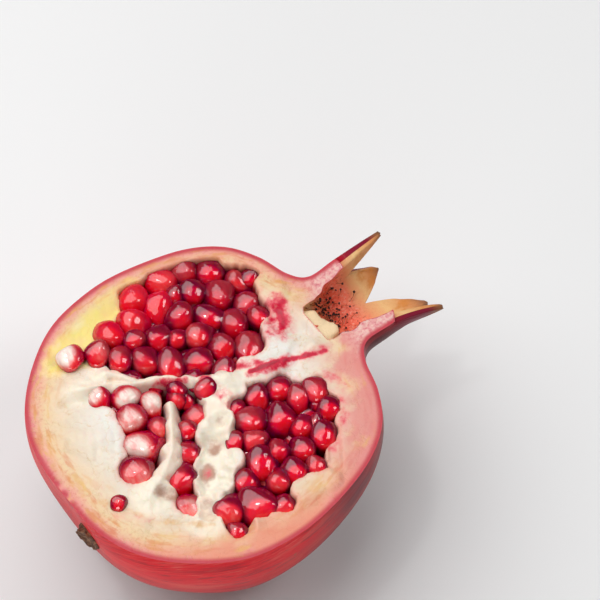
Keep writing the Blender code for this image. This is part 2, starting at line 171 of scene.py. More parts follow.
# Small arils that show between the others, in millimetres: x, y, radius, and the top's
# height over the cut. The last two lie on the pith.
SMALL_ARILS = (
    (16.5, 32, 2.3, -0.3), (9, 20, 2.6, 0.4), (11.2, -22.8, 2.8, 0.0), (0, 7.5, 2.4, 0.6),
    (-4.5, -4, 2.5, 0.4), (31, 13.5, 3.0, -0.8), (36.2, 24.6, 2.5, -1.2), (16.8, -32, 2.8, -0.6),
    (3.3, -36.3, 3.0, -0.3), (-10.7, -34.9, 2.6, -0.8), (-8, 17.1, 2.6, 0.0), (-3, 12.4, 2.4, -0.4),
    (5.5, 7.2, 2.7, 0.3), (24, -22, 2.3, -1.0), (28.6, -17.6, 2.4, -1.0), (-1.5, 5.4, 2.4, 0.0),
    (6.3, 2.8, 2.9, 1.6), (-31, -11.5, 1.9, 1.9),
)
LYING_COUNT = 2

# Stamens left in the crown cup.
STAMEN_COUNT = 150
STAMEN_SEED = 5
STAMEN_SIDES = 5
STAMEN_STEPS = (0.0, 0.3, 0.6, 0.82, 0.86, 0.92, 0.97, 1.0)
STAMEN_WIDTHS = (0.11, 0.10, 0.09, 0.09, 0.30, 0.40, 0.26, 0.05)

# Stem stub: (share of length, share of radius), out along the side and back over the broken end.
STUB_TURN = math.radians(16)
STUB_INSET = 1.8 * MM
STUB_COLUMNS = 72
STUB_PROFILE = (
    (0, 0), (0, 0.92), (0.25, 1), (0.6, 0.90), (0.88, 0.96), (1, 0.84), (0.82, 0.62), (0.74, 0.3), (0.80, 0),
)

# Arils whose seed shows pale through the flesh, and how much.
PALE_ARILS = {
    "aril_left_01": 0.8, "aril_left_02": 1.0, "aril_left_03": 0.95, "aril_left_04": 0.75,
    "aril_left_05": 0.45, "aril_left_06": 0.9, "aril_left_07": 0.55, "aril_loose": 1.1,
    "aril_upper_06": 0.45, "aril_upper_20": 0.3, "aril_right_04": 0.3, "aril_right_05": 0.35,
    "aril_right_07": 0.3, "aril_middle_05": 0.6,
}
# Arils painted scarlet all over: their own colour, and painted light as if lit from behind.
SCARLET_BACKLIT_ARILS = ("aril_upper_01", "aril_upper_02", "aril_upper_03", "aril_upper_04", "aril_upper_05")
# A seed shows on the side turned to SEED_SIDE, from this cosine up. The loose aril's is larger.
SEED_EDGE = 0.42
LOOSE_SEED_EDGE = -0.3
# Directions on an aril: where painted light is strongest (its flanks get painted shade),
# where painted light gathers as a glowing patch, and where a seed shows.
PAINTED_LIGHT_SIDE = np.array([-0.30, -0.50, 0.81])
PAINTED_GLOW_SIDE = np.array([-0.37, -0.78, 0.50])
SEED_SIDE = np.array([-0.25, -0.10, 0.96])
# How far each facet leans from upright, and how close it is held to the aril's middle.
FACET_LEANS = ((10, 0.96), (40, 0.95), (44, 0.96), (38, 0.95), (70, 0.98), (76, 0.98), (72, 0.98),
               (95, 1.0), (100, 1.0), (98, 1.0), (102, 1.0), (140, 1.0), (150, 1.0), (180, 1.0))


def clamp(value):
    return np.clip(value, 0.0, 1.0)


def smoothstep(value, low, high):
    """0 below low, 1 above high, and 3t^2 - 2t^3 between."""
    share = clamp((value - low) / (high - low))
    return share * share * (3 - 2 * share)


def ripple(points, size, seed, octaves=3):
    """Smooth noise of about -1 to 1: sine waves in seeded directions, each octave half as long."""
    chance = np.random.default_rng(seed)
    total = np.zeros(points.shape[:-1])
    for octave in range(octaves):
        for _ in range(5):
            direction = chance.normal(size=points.shape[-1])
            direction /= np.linalg.norm(direction)
            waves = math.tau / size * 2**octave * chance.uniform(0.7, 1.3)
            total += 0.5**octave * np.sin(points @ direction * waves + chance.uniform(0, math.tau))
    return total / 3.5


def curve_through(points, steps, closed=False):
    """Points on a Catmull-Rom curve, with so many steps from each point to the next."""
    points = np.asarray(points, float)
    if closed:
        padded = np.vstack([points[-1:], points, points[:2]])
    else:
        padded = np.vstack([2 * points[0] - points[1], points, 2 * points[-1] - points[-2]])
    parts = []
    for before, start, end, after in zip(padded, padded[1:], padded[2:], padded[3:]):
        t = np.linspace(0, 1, steps, endpoint=False)[:, None]
        bend = 2 * before - 5 * start + 4 * end - after
        twist = 3 * (start - end) + after - before
        parts.append(0.5 * (2 * start + (end - before) * t + bend * t**2 + twist * t**3))
    if not closed:
        parts.append(points[-1:])
    return np.vstack(parts)


# ---------------- meshes

def make_mesh(name, points, faces, materials, attributes=None, face_material=None):
    """A mesh object at the origin, shaded smooth, with float or vector attributes on its points."""
    mesh = bpy.data.meshes.new(name)
    mesh.from_pydata(np.asarray(points, float).tolist(), [], faces)
    for material in materials:
        mesh.materials.append(material)
    for key, values in (attributes or {}).items():
        kind, field = ("FLOAT", "value") if values.ndim == 1 else ("FLOAT_VECTOR", "vector")
        layer = mesh.attributes.new(key, kind, "POINT")
        layer.data.foreach_set(field, np.ascontiguousarray(values, np.float32).ravel())
    if face_material is not None:
        mesh.polygons.foreach_set("material_index", np.asarray(face_material, np.int32))
    mesh.shade_smooth()
    mesh.update()
    obj = bpy.data.objects.new(name, mesh)
    bpy.context.scene.collection.objects.link(obj)
    return obj


def grid_faces(index):
    """Quads of a grid of point numbers, or of a stack of such grids."""
    upper, lower = index[..., 1:, :], index[..., :-1, :]
    quads = [upper[..., :-1], upper[..., 1:], lower[..., 1:], lower[..., :-1]]
    return np.stack(quads, axis=-1).reshape(-1, 4)


def fan_faces(middle, ring):
    """Triangles from one point to each step of a row of points."""
    return np.stack([np.full(len(ring) - 1, middle), ring[:-1], ring[1:]], axis=1)


def capped_faces(rings, columns):
    """Faces of closed rings of points, followed by a pole point for the first ring and one for the last."""
    index = np.arange(rings * columns).reshape(rings, columns)
    index = np.hstack([index, index[:, :1]])
    first = fan_faces(index.max() + 1, index[0])
    last = fan_faces(index.max() + 2, index[-1, ::-1])
    return grid_faces(index).tolist() + first.tolist() + last.tolist()


# ---------------- plan of the cut face

def joined(plan, *outlines):
    """Triangles that join points in plan, out to their convex hull, and hold each edge of the outlines."""
    result = delaunay_2d_cdt([Vector(p) for p in plan.tolist()], [], list(outlines), 0, 1e-9, True)
    return np.array([before[0] for before in result[3]])[np.array(result[2])]


def node_points(name):
    """A CAD node's points as an array."""
    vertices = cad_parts[name].data.vertices
    places = np.empty(len(vertices) * 3, np.float32)
    vertices.foreach_get("co", places)
    return places.reshape(-1, 3).astype(float)


def edges_at(name, height):
    """Starts and ends in plan of a CAD node's edges at this height, apart from those inside a level face."""
    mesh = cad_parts[name].data
    mesh.calc_loop_triangles()
    corners = np.empty(len(mesh.loop_triangles) * 3, np.int32)
    mesh.loop_triangles.foreach_get("vertices", corners)
    places, same = np.unique(np.round(node_points(name), 6), axis=0, return_inverse=True)
    faces = same.reshape(-1)[corners].reshape(-1, 3)
    level = np.abs(places[:, 2] - height) < 1e-5
    ends = np.sort(np.concatenate([faces[:, [0, 1]], faces[:, [1, 2]], faces[:, [2, 0]]]), axis=1)
    flat_face = np.tile(level[faces].all(axis=1), 3)
    keep = level[ends].all(axis=1)
    edges, number = np.unique(ends[keep], axis=0, return_inverse=True)
    flat_count = np.bincount(number.reshape(-1), weights=flat_face[keep], minlength=len(edges))
    return np.moveaxis(places[edges[flat_count < 2], :2], 1, 0)


def inside_by(points, start, end=None):
    """Distance to outlines, positive inside: nearest foot on their edges, and a count of crossings.

    The edges come in any order; without their ends, the starts are one closed outline.
    """
    end = np.roll(start, -1, axis=0) if end is None else end
    run = end - start
    rise = np.where(run[:, 1] == 0, 1, run[:, 1])
    square = (run**2).sum(axis=1)
    found = np.empty(len(points))
    for first in range(0, len(points), 4000):
        part = points[first:first + 4000, None, :]
        away = part - start
        share = clamp((away * run).sum(axis=-1) / square)
        distance = np.linalg.norm(away - share[..., None] * run, axis=-1).min(axis=1)
        crosses = (start[:, 1] > part[..., 1]) != (end[:, 1] > part[..., 1])
        meets = start[:, 0] + away[..., 1] / rise * run[:, 0]
        inside = (crosses & (part[..., 0] < meets)).sum(axis=1) % 2 == 1
        found[first:first + 4000] = np.where(inside, distance, -distance)
    return found


# ---------------- husk

def lobe_share(angle):
    """How far the crown's edge reaches at each angle, and that lobe's length and flare."""
    middle, half_width, length, flare = (column.reshape(-1, *[1] * np.ndim(angle))
                                         for column in np.array(LOBES).T)
    away = (np.degrees(angle) - middle + 180) % 360 - 180
    shares = np.clip(1 - np.abs(away) / half_width, LOBE_NOTCH, 1) ** LOBE_POINT
    lobe = shares.argmax(axis=0)
    return shares.max(axis=0), length.reshape(-1)[lobe] * MM, flare.reshape(-1)[lobe] * MM


def crown_share(place):
    """How far along the crown's tube a place on the axis is, from 0 to CUP_CROWN; the lobes take the rest."""
    return CUP_CROWN * clamp((place - CROWN_START) / (CUP_MOUTH_X - CROWN_START))


def on_axis(along, radius, angle):
    """World points from axis position, radius, and angle from +Y down to -Z."""
    side = radius * np.cos(angle)
    up = -radius * np.sin(angle)
    ahead = along * math.cos(AXIS_RISE) - up * math.sin(AXIS_RISE)
    x = ahead * math.cos(AXIS_TURN) - side * math.sin(AXIS_TURN)
    y = ahead * math.sin(AXIS_TURN) + side * math.cos(AXIS_TURN)
    z = along * math.sin(AXIS_RISE) + up * math.cos(AXIS_RISE) + AXIS_HEIGHT
    return np.stack([x, y, z], axis=-1)


def round_place(angle, height):
    """A place on a cylinder of radius 1, so that noise read there closes round the axis."""
    return np.stack(np.broadcast_arrays(np.cos(angle), np.sin(angle), height), axis=-1)


def ring_rows(place, radius, reach=0.0, inward=0.0):
    """Rows of (place, radius, reach, inward), as ring_points reads them."""
    return np.stack(np.broadcast_arrays(*np.atleast_1d(place, radius, reach, inward)), axis=1)


def ring_points(rows, angle):
    """Points of the husk's surface for rows of (place, radius, reach, inward) and their angles.

    The body is the profile swollen by six soft ridges and seeded lumps. A lobe carries the mouth
    of the tube along the axis by reach x share x length and out by its flare x that reach squared,
    and inward goes from its outer face over its rounded tip to its inner face. The cup is rippled.
    """
    place, radius, reach, inward = (column[:, None] for column in rows.T)
    share, lobe_length, flare = lobe_share(angle)
    weight = clamp((radius / WIDEST_RADIUS) ** 2) * (inward == 0) * (reach == 0)
    lumps = LUMP_DEPTH * ripple(round_place(angle, place / WIDEST_RADIUS), 1.6, 3)
    swell = 1 + weight * (lumps - RIDGE_DEPTH * np.cos(RIDGE_COUNT * angle + 0.4))
    crown_spot = round_place(angle, reach)
    ragged = 1 + LOBE_RAGGED * ripple(crown_spot, 0.5, 11)
    reached = reach * share * ragged
    mouth_wall = SKIN_PROFILE[-1][1] * MM - CUP_MOUTH_RADIUS
    wall = (1 - reached) * mouth_wall + reached * LOBE_TIP_THICKNESS
    warp = LOBE_WARP * reached * ripple(crown_spot, 1.1, 12)
    bulge = LOBE_TIP_BULGE * np.sin(math.pi * inward) * (reach == 1)
    along = place + reached * lobe_length + bulge
    in_cup = (inward == 1) * (reach == 0) * smoothstep(CUP_MOUTH_X - place, 0, 4 * MM)
    outward = radius * swell + flare * reached**2 + warp - inward * wall * (reach > 0)
    outward = outward + CUP_RELIEF * in_cup * ripple(round_place(angle, place / (6 * MM)), 1.3, 13)
    return on_axis(along, outward, angle)


def husk_rows():
    """Every ring of the husk, and the number of the ring where the cut begins."""
    curve = curve_through(SKIN_PROFILE, 40) * MM
    length = np.concatenate([[0], np.cumsum(np.linalg.norm(np.diff(curve, axis=0), axis=1))])
    tops = ring_points(ring_rows(*curve.T), np.full((len(curve), 1), -math.pi / 2))[:, 0, 2]
    touch = np.interp(CUT, tops[:200], length[:200])
    low = np.linspace(0, touch, 14)[1:]
    high = np.linspace(touch, length[-1], round((length[-1] - touch) / ROW_STEP))[1:]
    spots = np.concatenate([low, high])
    skin = ring_rows(np.interp(spots, length, curve[:, 0]), np.interp(spots, length, curve[:, 1]))
    lobe = np.linspace(0, 1, LOBE_ROWS)
    outside = ring_rows(CUP_MOUTH_X, curve[-1, 1], lobe[1:])
    tip = ring_rows(CUP_MOUTH_X, curve[-1, 1], 1.0, np.linspace(0, 1, TIP_ROWS)[1:])
    inside = ring_rows(CUP_MOUTH_X, curve[-1, 1], lobe[-2:0:-1], 1.0)
    cup = ring_rows(np.linspace(CUP_MOUTH_X, CUP_FLOOR_X, CUP_ROWS),
                    np.linspace(CUP_MOUTH_RADIUS, CUP_FLOOR_RADIUS, CUP_ROWS), 0.0, 1.0)
    return np.vstack([skin, outside, tip, inside, cup]), len(low) - 1


def cut_angles(rows):
    """For each ring, the two angles where it meets the cut, by halving; a ring below it runs right round."""
    found = []
    for top, low in ((-math.pi / 2, math.pi / 2), (1.5 * math.pi, math.pi / 2)):
        above = np.full((len(rows), 1), top)
        below = np.full((len(rows), 1), low)
        closed = ring_points(rows, above)[..., 2] <= CUT + 1e-7
        for _ in range(40):
            middle = 0.5 * (above + below)
            high = ring_points(rows, middle)[..., 2] > CUT
            above = np.where(high, middle, above)
            below = np.where(high, below, middle)
        found.append(np.where(closed, top, 0.5 * (above + below)))
    return found


def floor_lumps(spot):
    """Rounded swellings of the cup's floor, below the cut: the square root of a noise lifted to 0..1."""
    swell = np.sqrt(clamp(0.6 + 0.6 * ripple(spot[..., 1:], 7 * MM, 17, 1)))
    return FLOOR_LUMP * swell * smoothstep(CUT - spot[..., 2], 0.2 * MM, 2.5 * MM)


def husk_sheet():
    """The husk apart from its cut face: points, faces, which faces are in the crown, cut edge, and notes.

    Its rings run round from one end of the cut to the other, and the last ones close in on
    the middle of the cup's floor.
    """
    rows, first_cut = husk_rows()
    start, end = cut_angles(rows)
    angle = start + (end - start) * np.linspace(0, 1, SHEET_COLUMNS)
    points = ring_points(rows, angle)
    last = points[-1]
    middle = 0.5 * (last[0] + last[-1])
    shrink = np.linspace(0, 1, FLOOR_ROWS + 1)[1:-1, None, None]
    floor = last + shrink * (middle - last)
    floor[..., 0] += floor_lumps(floor) * smoothstep(shrink[..., 0], 0, 0.4)
    points = np.vstack([points, floor])
    points[..., 2] = np.maximum(points[..., 2], 0.0)
    angle = np.vstack([angle, np.repeat(angle[-1:], len(floor), axis=0)])
    rows = np.vstack([rows, np.repeat(rows[-1:], len(floor), axis=0)])

    index = np.arange(angle.size).reshape(angle.shape)
    index[:first_cut + 1, -1] = index[:first_cut + 1, 0]
    stem_end, floor_middle = index.size, index.size + 1
    stem_point = on_axis(np.array(SKIN_PROFILE[0][0] * MM), np.array(0.0), np.array(0.0))
    flat = np.vstack([points.reshape(-1, 3), stem_point, middle])
    stem_fan = fan_faces(stem_end, index[0])
    floor_fan = fan_faces(floor_middle, index[-1, ::-1])
    faces = grid_faces(index).tolist() + stem_fan.tolist() + floor_fan.tolist()
    inner = np.repeat(rows[:-1, 3] >= 0.5, SHEET_COLUMNS - 1)
    inner = np.concatenate([inner, np.zeros(len(stem_fan), bool), np.ones(len(floor_fan), bool)])
    edge = np.concatenate([index[first_cut:, -1], [floor_middle], index[:first_cut:-1, 0]])

    along_skin = np.concatenate([[0], np.cumsum(np.linalg.norm(np.diff(rows[:, :2], axis=0), axis=1))])
    spot = WIDEST_RADIUS * round_place(angle, along_skin[:, None] / WIDEST_RADIUS).reshape(-1, 3)
    crown = crown_share(rows[:, :1]) + 0.6 * rows[:, 2:3] * lobe_share(angle)[0]
    notes = {
        "skin_spot": np.vstack([spot, [0, 0, 0], [0, 0, along_skin[-1]]]),
        "crown": np.concatenate([crown.ravel(), [0.0, CUP_CROWN]]),
        "skin_edge": index[first_cut:, [0, -1]][rows[first_cut:, 3] == 0].ravel(),
    }
    return flat, faces, inner, edge, notes


def face_points(rim):
    """Points of a triangular lattice inside the rim, and each one's distance from it."""
    low = rim.min(axis=0)
    high = rim.max(axis=0)
    rise = FACE_STEP * math.sqrt(0.75)
    x, row = np.meshgrid(np.arange(low[0], high[0], FACE_STEP), np.arange((high[1] - low[1]) / rise))
    lattice = np.stack([x + 0.5 * FACE_STEP * (row % 2), low[1] + row * rise], axis=-1).reshape(-1, 2)
    depth = inside_by(lattice, rim)
    keep = depth > 0.6 * FACE_STEP
    return lattice[keep], depth[keep]


def strokes(plan, marks, far=1.7, close=0.2):
    """The strongest of several strokes at each point: full within close widths of a line, none beyond far."""
    found = np.zeros(len(plan))
    ragged = 0.25 * ripple(plan, 6 * MM, 31, 2)
    for *line, width, strength in marks:
        first, last = np.reshape(line, (2, 2)) * MM
        run = last - first
        share = clamp(((plan - first) @ run) / max(run @ run, 1e-12))
        away = np.linalg.norm(plan - first - share[:, None] * run, axis=1) / (width * MM) + ragged
        found = np.maximum(found, strength * smoothstep(away, far, close))
    return found


def nearest_distance(plan, others):
    """Distance from each point to the nearest of the others."""
    nearest = np.empty(len(plan))
    for start in range(0, len(plan), 2000):
        away = plan[start:start + 2000, None] - others
        nearest[start:start + 2000] = np.sqrt((away**2).sum(axis=-1).min(axis=1))
    return nearest


def covered_by(plan, arils):
    """How far inside the arils' common outline each point is.

    The outline is the union of their circles, closed: grown by BRIDGE and drawn in again,
    so that it spans the gaps between neighbours and hugs the outer ones in scallops.
    """
    grown = np.max([aril["size"] + BRIDGE - np.linalg.norm(plan - aril["centre"][:2], axis=1)
                    for aril in arils], axis=0)
    nearest = nearest_distance(plan, plan[(grown < 0) & (grown > -1.2 * FACE_STEP)])
    return np.where(grown < 0, -nearest, nearest) - BRIDGE


def face_relief(plan, edge_depth, skin_depth, arils):
    """Height above the cut at each point of the face, with what its colours need.

    A pocket opens where a point is inside its chamber and the arils' outline, and closes
    towards the rind and the membranes; its depth is a smooth step of how far it has opened.
    The pith is flat at the rind and rippled further in, with ridges, dips and a hollow.
    """
    chamber = inside_by(plan, *edges_at("husk_half", CUT - WAIST_DEPTH))
    cover = covered_by(plan, [aril for aril in arils if not aril["lying"]])
    wobble = 0.3 * MM * ripple(plan, 5 * MM, 21)
    opened = np.minimum(chamber + CHAMBER_SPREAD, cover + POCKET_MARGIN) + wobble
    bend = 0.7 * MM * ripple(plan, 7 * MM, 25, 2)
    crest = np.zeros(len(plan))
    sharp = np.zeros(len(plan))
    for half_width, spots in MEMBRANES:
        away = nearest_distance(plan, curve_through(spots, 16) * MM)
        beside = away - half_width * MM
        opened = np.minimum(opened, (beside + bend) / MEMBRANE_SLOPE)
        crest = np.maximum(crest, smoothstep(beside, 5 * MM, 1.5 * MM))
        if half_width < THIN_MEMBRANE:
            sharp = np.maximum(sharp, clamp(1 - (away + 0.5 * bend) / SHARP_WIDTH) ** 1.3)
    opened = np.minimum(opened, edge_depth - RIND_LEFT)
    pocket = smoothstep(opened, 0.0, WALL_WIDTH)
    bowl = inside_by(plan, curve_through(HOLLOW, 6, closed=True) * MM)
    sunk = HOLLOW_DEPTH * smoothstep(bowl + wobble, -0.5 * MM, 7 * MM)
    torn = smoothstep(skin_depth, 5 * MM, 14 * MM)
    height = (0.10 + 0.40 * torn) * ripple(plan, 15 * MM, 22, 2)
    height += 0.10 * torn * ripple(plan, 5 * MM, 23, 2) + 0.10 * crest * ripple(plan, 3 * MM, 24, 2)
    height += strokes(plan, RIDGES) - strokes(plan, DIPS, 1.35, 0.4)
    height = (height * MM + SHARP_CREST * sharp) * smoothstep(edge_depth, 0.0, 3 * MM)
    height -= sunk + (POCKET_DEPTH - sunk) * pocket
    # The near walls by the pockets are tinted pink in the flesh: juice, and painted red light from the arils.
    seen = {
        "pocket": pocket, "crest": crest, "rim": skin_depth,
        "near": smoothstep(opened, -1.5 * MM, 0.3 * MM),
        "hollow": smoothstep(bowl + 2 * wobble, -1.0 * MM, 3.0 * MM),
        "juice": strokes(plan, JUICE_STAINS), "tan": strokes(plan, TAN_STAINS),
    }
    return height, seen


def make_husk(arils, skin, flesh, crown_inside):
    """The husk: the sheet, and the cut face's points joined in triangles, welded along the cut edge."""
    points, faces, inner, edge, notes = husk_sheet()
    rim = points[edge, :2]
    plan, depth = face_points(rim)
    height, seen = face_relief(plan, depth, nearest_distance(plan, points[notes["skin_edge"], :2]), arils)
    flat = np.vstack([rim, plan])
    triangles = joined(flat, list(range(len(rim))))
    # A triangle outside the rim spans a dent of it.
    spanning = (triangles < len(rim)).all(axis=1)
    outside = np.zeros(len(triangles), bool)
    outside[spanning] = inside_by(flat[triangles[spanning]].mean(axis=1), rim) < 0
    number = np.concatenate([edge, len(points) + np.arange(len(plan))])
    triangles = number[triangles[~outside]]
    every = np.vstack([points, np.column_stack([plan, CUT + height])])
    all_faces = faces + triangles.tolist()
    kind = np.concatenate([np.where(inner, 2, 0), np.ones(len(triangles))])

    blank = np.zeros(len(points))
    attributes = {key: np.concatenate([blank, values]) for key, values in seen.items()}
    face_spot = round_place(np.arctan2(plan[:, 1], plan[:, 0]), 3 * seen["rim"] / WIDEST_RADIUS)
    attributes["skin_spot"] = np.vstack([notes["skin_spot"], WIDEST_RADIUS * face_spot])
    attributes["crown"] = np.concatenate([notes["crown"], crown_share(plan[:, 0])])

    used = np.unique(np.concatenate([np.ravel(face) for face in all_faces]))
    order = np.searchsorted(used, np.arange(len(every)))
    renumbered = [order[face].tolist() for face in all_faces]
    attributes = {key: values[used] for key, values in attributes.items()}
    husk = make_mesh("husk", every[used], renumbered, [skin, flesh, crown_inside], attributes, kind)
    mark_cut_edge(husk, np.isin(used, edge))
    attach(husk, "root")
    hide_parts("husk_half")
    return husk


def mark_cut_edge(husk, on_edge):
    """Keeps the cut edge crisp: its edges are sharp."""
    mesh = husk.data
    ends = np.empty(len(mesh.edges) * 2, np.int32)
    mesh.edges.foreach_get("vertices", ends)
    sharp = on_edge[ends.reshape(-1, 2)].all(axis=1)
    layer = mesh.attributes.new("sharp_edge", "BOOLEAN", "EDGE")
    layer.data.foreach_set("value", sharp)


# ---------------- arils

def model_arils():
    """Name, middle, size in plan and hull of every aril of the model."""
    arils = []
    for name in sorted(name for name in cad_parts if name.startswith("aril_")):
        low, high = (np.array(corner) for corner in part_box(name))
        middle = 0.5 * (low + high)
        middle[2] = high[2] - 0.4 * (high[2] - low[2])
        size = 0.25 * (high - low)[:2].sum()
        arils.append({"name": name, "centre": middle, "size": size, "lying": name == "aril_loose",
                      "hull": node_points(name) - middle})
    return arils


def small_arils():
    """The small arils, as balls whose tops reach their heights."""
    arils = []
    for number, (x, y, size, top) in enumerate(SMALL_ARILS, 1):
        centre = np.array([x * MM, y * MM, CUT + (top - size) * MM])
        arils.append({"name": f"small_aril_{number:02d}", "centre": centre, "size": size * MM,
                      "lying": number > len(SMALL_ARILS) - LYING_COUNT})
    return arils


def lower_arils(arils):
    """Smaller arils one layer down, in the gaps between those of the model.

    A gap is the middle of three neighbouring arils in plan, kept where all three are near.
    """
    centre = np.array([aril["centre"] for aril in arils])
    corners = centre[joined(centre[:, :2])]
    gap = corners.mean(axis=1)
    reach = np.linalg.norm(corners - gap[:, None], axis=-1).max(axis=1)
    return [{"name": f"lower_aril_{number:02d}", "centre": place, "size": LOWER_SIZE, "lying": False}
            for number, place in enumerate(gap[reach < LOWER_REACH] - [0, 0, LAYER_DROP], 1)]


def facets(aril, chance):
    """Normals and distances of one aril's faces, each held against the model's aril or, below, a ball."""
    lean, hold = np.array(FACET_LEANS).T
    count = len(lean)
    lean = np.radians(lean + chance.uniform(-8, 8, count))
    turn = np.arange(count) * 2.4 + chance.uniform(0, math.tau) + chance.uniform(-0.3, 0.3, count)
    normals = np.stack([np.sin(lean) * np.cos(turn), np.sin(lean) * np.sin(turn), np.cos(lean)], axis=1)
    if "hull" in aril:
        support = (aril["hull"] @ normals.T).max(axis=0)
    else:
        support = np.full(count, aril["size"])
    fit = LOOSE_FIT if aril["name"] == "aril_loose" else ARIL_FIT
    return normals, support * hold * fit


def rounded_cell(centre, normals, distances):
    """A ball of directions d, each reaching (sum of max(n.d / distance, 0)^p)^(-1/p): a soft minimum."""
    tilt = np.linspace(0, math.pi, ARIL_RINGS + 1)[1:-1, None]
    turn = np.arange(ARIL_SECTORS) / ARIL_SECTORS * math.tau
    direction = np.stack(np.broadcast_arrays(np.sin(tilt) * np.cos(turn), np.sin(tilt) * np.sin(turn),
                                             np.cos(tilt)), axis=-1).reshape(-1, 3)
    direction = np.vstack([direction, [[0, 0, 1], [0, 0, -1]]])
    press = np.maximum(direction @ normals.T / distances, 0)
    reach = (press**ARIL_ROUNDNESS).sum(axis=1) ** (-1 / ARIL_ROUNDNESS)
    return centre + direction * reach[:, None], capped_faces(ARIL_RINGS - 1, ARIL_SECTORS)


def make_arils(arils, juice):
    """One piece for each aril of the model, the small ones and those of the lower layer.

    With u the direction from an aril's middle, painted light makes the juice lightest where u is
    near its lit side and painted shade darkens the flanks; painted light gathers as a glowing
    patch where u is near the side turned from the light. A pale seed shows where u is near
    SEED_SIDE. Painted shade by place leaves arils on the upper left lighter than the rest, and the
    scarlet ones, their own colour with painted light from behind, are lightest.
    """
    chance = np.random.default_rng(ARIL_SEED)
    for aril in arils:
        points, faces = rounded_cell(aril["centre"], *facets(aril, chance))
        # Painted shade by place: arils towards +x and +y are darker; the random part is each aril's own
        # colour.
        painted_brightness = clamp(0.70 - aril["centre"][:2] @ (7, 9) + chance.uniform(-0.2, 0.2))
        outward = points - aril["centre"]
        outward /= np.linalg.norm(outward, axis=1, keepdims=True)
        # Painted light on the side turned to the light, painted shade round the flanks.
        painted_lit_side = smoothstep(outward @ PAINTED_LIGHT_SIDE, 0.6, 0.99)
        # Painted light gathering in a glowing patch on the side turned from the light.
        painted_glow_side = PAINTED_GLOW_SIDE + chance.normal(0, 0.14, 3)
        painted_glow = smoothstep(outward @ painted_glow_side / np.linalg.norm(painted_glow_side), 0.76, 0.97)
        seed_side = SEED_SIDE + chance.normal(0, 0.22, 3)
        facing = outward @ seed_side / np.linalg.norm(seed_side)
        seed_edge = LOOSE_SEED_EDGE if aril["name"] == "aril_loose" else SEED_EDGE
        pale = PALE_ARILS.get(aril["name"], chance.uniform(0.0, 0.4))
        # Scarlet arils: their own colour, and painted light as if lit from behind.
        scarlet = 1.0 if aril["name"] in SCARLET_BACKLIT_ARILS else 0.0
        # Pale and scarlet arils get less of the painted shade on their flanks.
        least_painted_light = max(scarlet, 0.8 * pale) * (0.4 + 0.5 * painted_lit_side)
        notes = {
            "painted_light_tone": np.maximum((0.25 + 0.75 * painted_brightness) * painted_lit_side, least_painted_light),
            "painted_glow": np.maximum(painted_glow * (0.5 + 0.5 * painted_brightness), scarlet * (0.2 + 0.5 * painted_lit_side)),
            "core": clamp(pale * smoothstep(facing, seed_edge, 0.94)),
        }
        piece = make_mesh(aril["name"] + "_flesh", points, faces, [juice], notes)
        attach(piece, "root")
        if "hull" in aril:
            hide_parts(aril["name"])


# ---------------- stem and stamens

def make_stub(wood):
    """The broken stem: a profile turned about its axis, its radius ribbed by noise of the angle."""
    low, high = (np.array(corner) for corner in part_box("stem_stub"))
    out = np.array([-math.cos(STUB_TURN), -math.sin(STUB_TURN), 0.0])
    side = np.array([-out[1], out[0], 0.0])
    middle = 0.5 * (low + high)
    reach = (node_points("stem_stub") - middle) @ out
    radius = 0.49 * (high[2] - low[2])
    profile = curve_through(STUB_PROFILE, 6)
    share, width = profile[:, :1], clamp(profile[:, 1:])
    angle = np.arange(STUB_COLUMNS) / STUB_COLUMNS * math.tau
    spot = round_place(angle, share * 0.6)
    ribbed = width * radius * (1 + 0.10 * ripple(spot, 0.8, 41))
    ragged = 0.10 * ripple(spot * width[..., None], 0.5, 42) * smoothstep(share, 0.5, 0.9)
    along = (reach.min() - STUB_INSET + (share + ragged) * (reach.max() - reach.min()))[..., None]
    points = middle + along * out + (ribbed * np.cos(angle))[..., None] * side
    points[..., 2] += ribbed * np.sin(angle)
    flat = np.vstack([points[1:-1].reshape(-1, 3), points[0, :1], points[-1, :1]])
    faces = [face[::-1] for face in capped_faces(len(profile) - 2, STUB_COLUMNS)]
    piece = make_mesh("stem_wood", flat, faces, [wood])
    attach(piece, "root")
    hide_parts("stem_stub")


